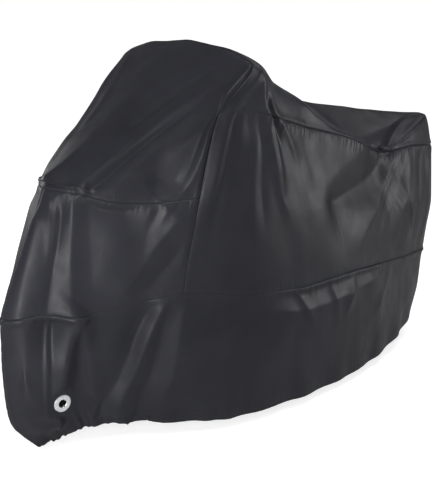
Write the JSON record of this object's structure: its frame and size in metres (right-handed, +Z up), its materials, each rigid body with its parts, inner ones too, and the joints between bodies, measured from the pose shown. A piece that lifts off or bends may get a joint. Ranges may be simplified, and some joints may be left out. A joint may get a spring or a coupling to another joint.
{
  "type": "motorcycle cover",
  "caption": "Fitted motorcycle cover of dark coated cloth: a hollow hood sewn from panels, draped from handlebar to tail, with an elastic hem and metal lock eyelets low at the front.",
  "frame": {"origin": "middle of the cover's bounding box, at the level of its lowest hem", "axes": "+X towards the front of the machine it covers, +Y the machine's left, +Z up"},
  "size_m": [2.0174, 0.7418, 1.229],
  "materials": {
    "coated_cloth": "dark charcoal polyester with a smooth waterproof coating, softly glossy",
    "eyelet_metal": "bright nickel-plated eyelet"
  },
  "bodies": {
    "root": {"front_hood": "coated_cloth", "front_side_left": "coated_cloth", "front_side_right": "coated_cloth", "rear_top": "coated_cloth", "rear_side_left": "coated_cloth", "rear_side_right": "coated_cloth", "skirt_left": "coated_cloth", "skirt_right": "coated_cloth", "eyelet_left": "eyelet_metal", "eyelet_right": "eyelet_metal"}
  },
  "joints": []
}
